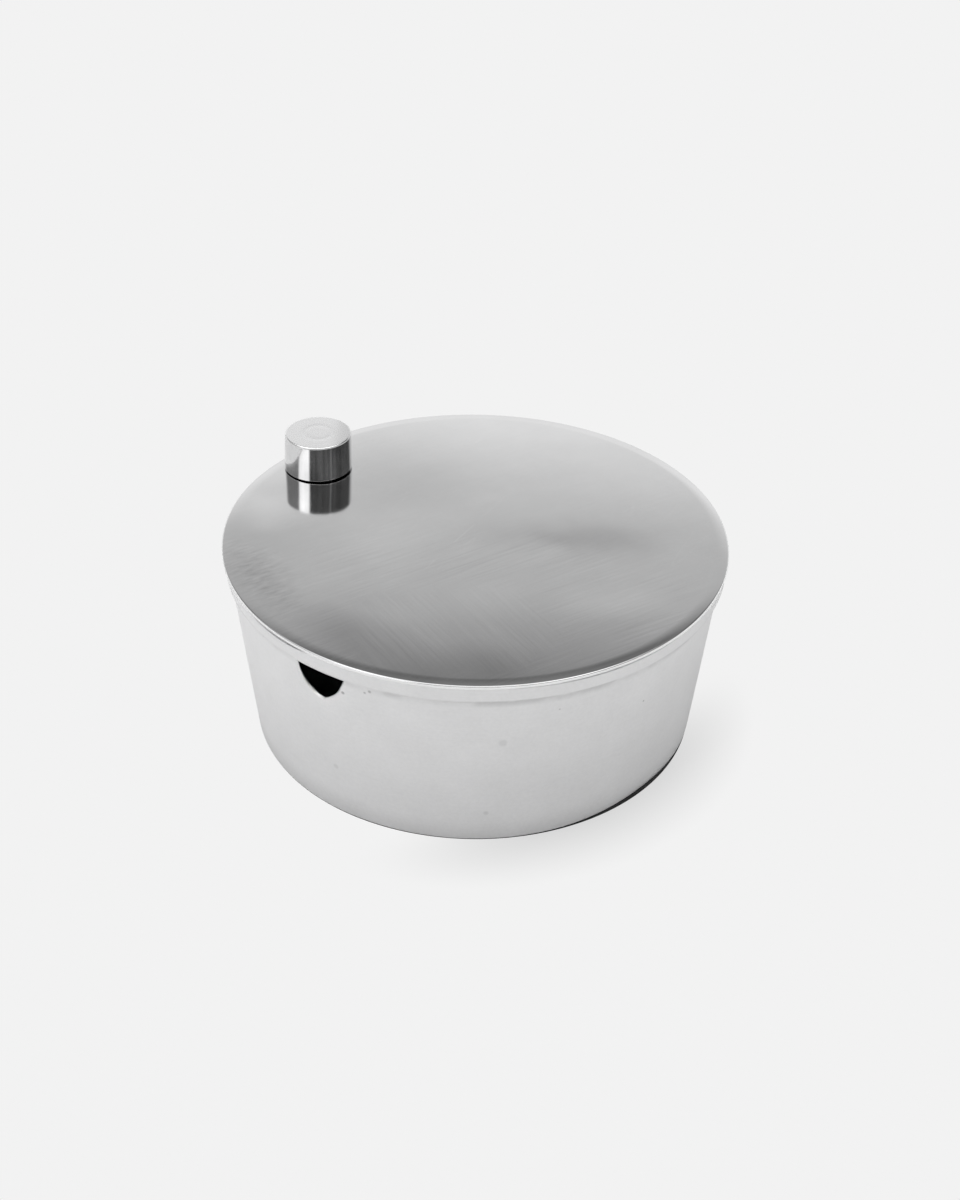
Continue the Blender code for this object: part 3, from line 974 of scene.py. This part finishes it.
def make_base():
    """The floor of the dish: a disc let into the wall, with a fillet up its side and a ring below, painted
    almost black as shade under the wall's foot.
    """
    profile = [(BASE_RADIUS * share, BASE_THICKNESS) for share in BASE_TOP_SHARES]
    fillet_steps = ARC_STEPS * 2
    for step in range(fillet_steps):
        angle = math.pi / 2.0 * step / fillet_steps
        profile.append((
            BASE_RADIUS - BASE_FILLET * (1.0 - math.sin(angle)),
            BASE_THICKNESS + BASE_FILLET * (1.0 - math.cos(angle)),
        ))
    profile += rounded([
        (BASE_RADIUS, BASE_THICKNESS + BASE_FILLET, 0.0),
        (BASE_RADIUS, SHADE_RING_TOP_Z, 0.0),
        (SHADE_RING_RADIUS, SHADE_RING_TOP_Z, SHADE_RING_ROUND),
        (SHADE_RING_RADIUS, 0.0, SHADE_RING_ROUND),
        (0.0, 0.0, 0.0),
    ])
    profile.insert(-1, (BASE_RADIUS * BASE_UNDERSIDE_SHARE, 0.0))
    return spin("steel_base_plate", profile, LARGE_SEGMENTS, shade_ring_bend)


# ----------------------------------------------------------
# The lid


def lid_top(radius):
    return LID_EDGE_Z + LID_CROWN * (1.0 - (radius / LID_RADIUS) ** 2)


def from_camera(angle, azimuth):
    """How far an angle in the frame is, either way, from an azimuth counted from the right."""
    return (angle - CAMERA_AZIMUTH - azimuth + math.pi) % FULL_TURN - math.pi


def lid_bend(angle, radius, z):
    """The rolled border, slight waves left in the sheet by hand, and its lean in front of the knob."""
    away = from_camera(angle, LID_ROLL_LEAST_AZIMUTH) / LID_ROLL_LEAST_SPREAD
    roll_share = 1.0 - (1.0 - LID_ROLL_LEAST) * math.exp(-away ** 2)
    rolled = max(0.0, radius - (LID_RADIUS - LID_ROLL_WIDTH)) / LID_ROLL_WIDTH
    roll = LID_ROLL_DROP * roll_share * rolled ** 2
    at = Vector((radius * math.cos(angle), radius * math.sin(angle), 0.0))
    sideways = Vector((math.cos(CAMERA_AZIMUTH), math.sin(CAMERA_AZIMUTH), 0.0))
    ahead = Vector((sideways.y, -sideways.x, 0.0))
    from_knob = at - Vector((KNOB_CENTRE.x, KNOB_CENTRE.y, 0.0)) - ahead * LID_LEAN_AHEAD
    x = from_knob.dot(sideways)
    y = from_knob.dot(ahead)
    lean = LID_LEAN * x * math.exp(-(x / LID_LEAN_HALF_WIDTH) ** 2 - (y / LID_LEAN_HALF_LENGTH) ** 2)
    return radius, z + LID_WAVE_HEIGHT * noise.noise(at / LID_WAVE_LENGTH) - lean - roll


def make_lid():
    radii = [LID_RADIUS * (step / LID_RINGS) for step in range(LID_RINGS - 1)]
    for step in range(LID_ROLL_RINGS - 1):
        radii.append(LID_RADIUS - LID_ROLL_WIDTH * (1.0 - step / LID_ROLL_RINGS))
    profile = [(radius, lid_top(radius)) for radius in sorted(radii)]
    edge = rounded([
        profile[-1] + (0.0,),
        (LID_RADIUS, lid_top(LID_RADIUS), LID_EDGE_ROUND),
        (LID_RADIUS, LID_EDGE_Z - LID_THICKNESS, LID_FOOT_ROUND),
        (0.0, LID_EDGE_Z - LID_THICKNESS, 0.0),
    ])[1:-1]
    underside = [(radius, lid_top(radius) - LID_THICKNESS) for radius in LID_UNDERSIDE_RADII]
    lid = spin("polished_lid_plate", profile + edge + underside, LARGE_SEGMENTS, lid_bend)
    outline = []
    for i in range(SCREW_BORE_SEGMENTS):
        angle = FULL_TURN * i / SCREW_BORE_SEGMENTS
        outline.append((
            KNOB_CENTRE.x + SCREW_BORE_RADIUS * math.cos(angle),
            KNOB_CENTRE.y + SCREW_BORE_RADIUS * math.sin(angle),
        ))
    cut(lid, prism("bore", outline, LID_LOW.z - LID_CUT_MARGIN, LID_HIGH.z + LID_CUT_MARGIN))
    return lid


def skirt_gap(angle):
    """Width of the crevice between the skirt and the lid plate."""
    around = Vector((math.cos(angle), math.sin(angle), 0.0))
    share = 1.0 + SKIRT_GAP_UNEVENNESS * noise.noise(around * SKIRT_GAP_WAVES)
    gap = SKIRT_GAP_LEAST
    for azimuth, half_length, most in SKIRT_OPENINGS:
        gap += most * share * math.exp(-(from_camera(angle, azimuth) / half_length) ** 4)
    return gap


def skirt_bend(angle, radius, z):
    """Lowers the skirt's top where it has come away, and moves the skirt off centre."""
    top = LID_EDGE_Z - LID_THICKNESS
    share = smooth_step(SKIRT_FOOT_Z + SKIRT_THICKNESS, top, z)
    off_centre = SKIRT_OFF_CENTRE * math.cos(from_camera(angle, 0.0))
    return radius + off_centre, z + (top - skirt_gap(angle) - SKIRT_HIGH.z) * share


def make_skirt():
    inner = SKIRT_RADIUS - SKIRT_THICKNESS
    profile = rounded([
        (SKIRT_RADIUS, SKIRT_HIGH.z, SKIRT_EDGE_ROUND),
        (SKIRT_RADIUS, SKIRT_FOOT_Z, SKIRT_EDGE_ROUND),
        (inner, SKIRT_FOOT_Z, SKIRT_EDGE_ROUND),
        (inner, SKIRT_HIGH.z, SKIRT_EDGE_ROUND / 2.0),
    ])
    return spin("steel_lid_skirt", profile, LARGE_SEGMENTS, skirt_bend, closed=True)


def make_knob():
    """Turned knob: a rounded top edge, a shallow ring on top, and a recess for the washer under its foot."""
    half = (KNOB_HIGH.z - KNOB_LOW.z) / 2.0
    recess = WASHER_RADIUS + KNOB_CLEARANCE
    recess_z = WASHER_HIGH.z - KNOB_CENTRE.z + KNOB_CLEARANCE
    bore_z = SCREW_HIGH.z - KNOB_CENTRE.z + KNOB_CLEARANCE
    profile = [(radius, half) for radius in KNOB_RADII_INSIDE]
    for step in range(KNOB_GROOVE_STEPS + 1):
        across = 2.0 * step / KNOB_GROOVE_STEPS - 1.0
        depth = KNOB_GROOVE_DEPTH * (0.5 + 0.5 * math.cos(across * math.pi))
        profile.append((KNOB_GROOVE_RADIUS + across * KNOB_GROOVE_WIDTH, half - depth))
    profile += [(radius, half) for radius in KNOB_RADII_OUTSIDE]
    profile += rounded([
        (profile[-1][0], half, 0.0),
        (KNOB_RADIUS, half, KNOB_TOP_ROUND),
        (KNOB_RADIUS + KNOB_FLARE, -half, KNOB_FOOT_ROUND),
        (recess, -half, KNOB_RECESS_ROUND),
        (recess, recess_z, KNOB_RECESS_ROUND),
        (SCREW_BORE_RADIUS, recess_z, KNOB_RECESS_ROUND),
        (SCREW_BORE_RADIUS, bore_z, 0.0),
        (0.0, bore_z, 0.0),
    ])[1:]
    knob = spin("turned_knob", profile, SMALL_SEGMENTS)
    lean = Matrix.Identity(4)
    lean[0][2] = math.tan(KNOB_LEAN) * math.cos(CAMERA_AZIMUTH)
    lean[1][2] = math.tan(KNOB_LEAN) * math.sin(CAMERA_AZIMUTH)
    knob.data.transform(lean)
    knob.location = KNOB_CENTRE
    return knob


def make_washer():
    half = (WASHER_HIGH.z - WASHER_LOW.z) / 2.0
    profile = rounded([
        (WASHER_RADIUS, half, WASHER_TOP_ROUND),
        (WASHER_RADIUS, -half, WASHER_FOOT_ROUND),
        (SCREW_BORE_RADIUS, -half, WASHER_FOOT_ROUND),
        (SCREW_BORE_RADIUS, half, WASHER_TOP_ROUND),
    ])
    washer = spin("plated_knob_washer", profile, SMALL_SEGMENTS, closed=True)
    washer.location = (WASHER_LOW + WASHER_HIGH) / 2.0
    return washer


def thread_bend(low, high):
    """Cuts a V thread between two heights, fading out at both ends."""

    def bend(angle, radius, z):
        if not low < z < high:
            return radius, z
        turn = (z / SCREW_THREAD_PITCH - angle / FULL_TURN) % 1.0
        valley = 1.0 - abs(2.0 * turn - 1.0)
        runs_in = smooth_step(low, low + SCREW_THREAD_PITCH, z)
        runs_out = smooth_step(high, high - SCREW_THREAD_PITCH, z)
        return radius - SCREW_THREAD_DEPTH * valley * (runs_in * runs_out), z

    return bend


def make_screw():
    """Pan head screw, its slotted head below the lid plate and its thread up inside the knob."""
    centre = (SCREW_LOW + SCREW_HIGH) / 2.0
    top = SCREW_HIGH.z - centre.z
    foot = SCREW_LOW.z - centre.z
    shoulder = foot + SCREW_HEAD_HEIGHT
    shank_top = top - SCREW_TIP_ROUND
    shank_run = shoulder + SCREW_SHANK_END - shank_top
    profile = [
        (0.0, top),
        (SCREW_RADIUS - SCREW_TIP_ROUND, top),
        (SCREW_RADIUS - SCREW_TIP_ROUND + SCREW_TIP_STEP, top - SCREW_TIP_STEP),
    ]
    for step in range(SCREW_THREAD_STEPS + 1):
        profile.append((SCREW_RADIUS, shank_top + shank_run * step / SCREW_THREAD_STEPS))
    profile += rounded([
        (SCREW_RADIUS, shoulder, SCREW_NECK_ROUND),
        (SCREW_HEAD_RADIUS, shoulder, SCREW_SHOULDER_ROUND),
        (SCREW_HEAD_RADIUS, foot, SCREW_HEAD_ROUND),
        (0.0, foot, 0.0),
    ])[1:]
    thread = thread_bend(shoulder + SCREW_NECK, shank_top)
    screw = spin("plated_knob_screw", profile, SCREW_SEGMENTS, thread)
    half = SCREW_SLOT_WIDTH / 2.0
    reach = SCREW_SLOT_REACH
    outline = [(-half, -reach), (half, -reach), (half, reach), (-half, reach)]
    cut(screw, prism("slot", outline, foot - SLOT_CUT_MARGIN, foot + SCREW_SLOT_DEPTH))
    screw.location = centre
    return screw


# ----------------------------------------------------------
# The studio


def make_floor():
    """Pale card, with a soft contact shadow on one side of the dish.

    The dish reflects the card as it is lit. The camera sees it bright and even, as a well exposed sweep.
    """
    profile = [(FLOOR_RADIUS * share, -FLOOR_DROP) for share in FLOOR_RING_SHARES]
    floor = spin("studio_floor", profile, FLOOR_SEGMENTS)
    material = bpy.data.materials.new("pale_card")
    material.use_nodes = True
    tree = material.node_tree
    place = position(tree)
    tooth = scaled_grain(tree, place, scale=FLOOR_TOOTH_SCALE, detail=4.0, roughness=0.7)
    tone = total(tree, FLOOR_TONE - FLOOR_TOOTH_TONE / 2.0, (tooth, FLOOR_TOOTH_TONE))
    colour = node(tree, "CombineColor", {0: tone, 1: tone, 2: tone}).outputs[0]
    lit = node(tree, "BsdfDiffuse", {"Color": colour}).outputs[0]
    reach = {"Distance": CONTACT_REACH}
    openness = node(tree, "AmbientOcclusion", reach, samples=CONTACT_SAMPLES).outputs["AO"]
    azimuth = CONTACT_BEARING + CAMERA_AZIMUTH
    along = vector_maths(tree, "DOT_PRODUCT", place, (math.cos(azimuth), math.sin(azimuth), 0.0))
    strength = fade(tree, along, *CONTACT_SPAN, 0.0, CONTACT_STRENGTH)
    shadow = times(tree, maths(tree, "SUBTRACT", 1.0, openness), strength)
    glow = FLOOR_GLOW - FLOOR_TOOTH_GLOW / 2.0
    evenness = total(tree, glow, (shadow, -FLOOR_GLOW), (tooth, FLOOR_TOOTH_GLOW))
    even = node(tree, "Emission", {"Strength": evenness}).outputs[0]
    seen = node(tree, "LightPath").outputs["Is Camera Ray"]
    mixed = node(tree, "MixShader", {0: seen, 1: lit, 2: even})
    tree.links.new(mixed.outputs[0], tree.nodes["Material Output"].inputs["Surface"])
    floor.data.materials.append(material)


def elevation_ramp(tree, height, stops):
    """Radiance against the sine of the elevation."""
    ramp = node(tree, "ValToRGB", {"Fac": height})
    elements = ramp.color_ramp.elements
    while len(elements) > 1:
        elements.remove(elements[-1])
    for i, (elevation, radiance) in enumerate(stops):
        place = math.sin(math.radians(elevation))
        element = elements[0] if i == 0 else elements.new(place)
        element.position = place
        grey = radiance / RAMP_SCALE
        element.color = (grey, grey, grey, 1.0)
    return times(tree, ramp.outputs["Color"], RAMP_SCALE)


def elevation_window(tree, height, elevations):
    return window(tree, height, [math.sin(math.radians(elevation)) for elevation in elevations])


def make_light():
    """The studio as a world: a bright sweep and overhead bank, a darker room and a strip light."""
    world = bpy.data.worlds.new("studio")
    bpy.context.scene.world = world
    world.use_nodes = True
    tree = world.node_tree
    direction = node(tree, "TexCoord").outputs["Generated"]
    inputs = {"Vector": direction, "Angle": math.pi / 2.0 - CAMERA_AZIMUTH}
    seen = node(tree, "VectorRotate", inputs, rotation_type="Z_AXIS").outputs[0]
    front, right, height = node(tree, "SeparateXYZ", {0: seen}).outputs
    left = times(tree, right, -1.0)
    bearing = maths(tree, "DEGREES", maths(tree, "ARCTAN2", left, front))
    sweep = elevation_ramp(tree, height, SWEEP + OVERHEAD)
    room = elevation_ramp(tree, height, ROOM + OVERHEAD)
    side = elevation_ramp(tree, height, SIDE + OVERHEAD)
    across = times(tree, bearing, CLUTTER_SCALE)
    shapes = grain(tree, node(tree, "CombineXYZ", {0: across, 1: height}).outputs[0], detail=2.0)
    clutter = fade(tree, shapes, *CLUTTER_SPAN, 1.0 - CLUTTER_DEPTH / 2.0, 1.0 + CLUTTER_DEPTH / 2.0)
    dark = elevation_window(tree, height, CLUTTER_ELEVATIONS)
    room = times(tree, room, blend(tree, dark, 1.0, clutter))
    slit = times(tree, window(tree, bearing, SLIT_BEARINGS), dark)
    room = blend(tree, slit, room, SLIT_RADIANCE)
    around = blend(tree, window(tree, bearing, SIDE_BEARINGS), room, side)
    behind = fade(tree, maths(tree, "ABSOLUTE", bearing), *SWEEP_BEARINGS)
    studio = blend(tree, behind, around, sweep)
    strip = elevation_window(tree, height, STRIP_ELEVATIONS)
    strip = times(tree, window(tree, bearing, STRIP_BEARINGS), strip)
    background = tree.nodes["Background"]
    tree.links.new(blend(tree, strip, studio, STRIP_RADIANCE), background.inputs["Strength"])
    background.inputs["Color"].default_value = (1.0, 1.0, 1.0, 1.0)


def make_camera():
    data = bpy.data.cameras.new("camera")
    data.lens = CAMERA_LENS
    data.sensor_width = CAMERA_SENSOR
    data.clip_start = CAMERA_CLIP_START
    data.clip_end = CAMERA_CLIP_END
    camera = bpy.data.objects.new("camera", data)
    bpy.context.collection.objects.link(camera)
    back = Vector((0.0, -math.cos(CAMERA_ELEVATION), math.sin(CAMERA_ELEVATION)))
    turn = Matrix.Rotation(CAMERA_AZIMUTH, 4, "Z")
    tilt = Matrix.Rotation(math.pi / 2.0 - CAMERA_ELEVATION, 4, "X")
    roll = Matrix.Rotation(CAMERA_ROLL, 4, "Z")
    camera.matrix_world = turn @ Matrix.Translation(CAMERA_AIM + back * CAMERA_DISTANCE) @ tilt @ roll
    bpy.context.scene.camera = camera


def finish_piece(piece, materials, body, cad_node):
    piece.data.materials.clear()
    for material in materials:
        piece.data.materials.append(material)
    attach(piece, body)
    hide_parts(cad_node)


def main():
    satin = metal("satin_steel", satin_steel)
    foot_shaded_steel = metal("satin_steel_painted_foot_shade", satin_steel_with_shade_ring)
    filed = metal("filed_steel_edge", filed_steel)
    polished = metal("polished_steel", polished_steel)
    bright = metal("bright_turned_steel", turned_steel)
    zinc = metal("zinc_plated_steel", zinc_plate)
    finish_piece(make_base(), [foot_shaded_steel], "dish", "base_plate")
    finish_piece(make_wall(), [satin, filed], "dish", "body_wall")
    finish_piece(make_lid(), [polished], "lid", "lid_plate")
    finish_piece(make_skirt(), [satin], "lid", "lid_skirt")
    finish_piece(make_knob(), [bright], "lid", "knob")
    finish_piece(make_washer(), [zinc], "lid", "knob_washer")
    finish_piece(make_screw(), [zinc], "lid", "knob_screw")
    make_floor()
    make_light()
    make_camera()
    bpy.context.scene.view_settings.view_transform = "Standard"


main()
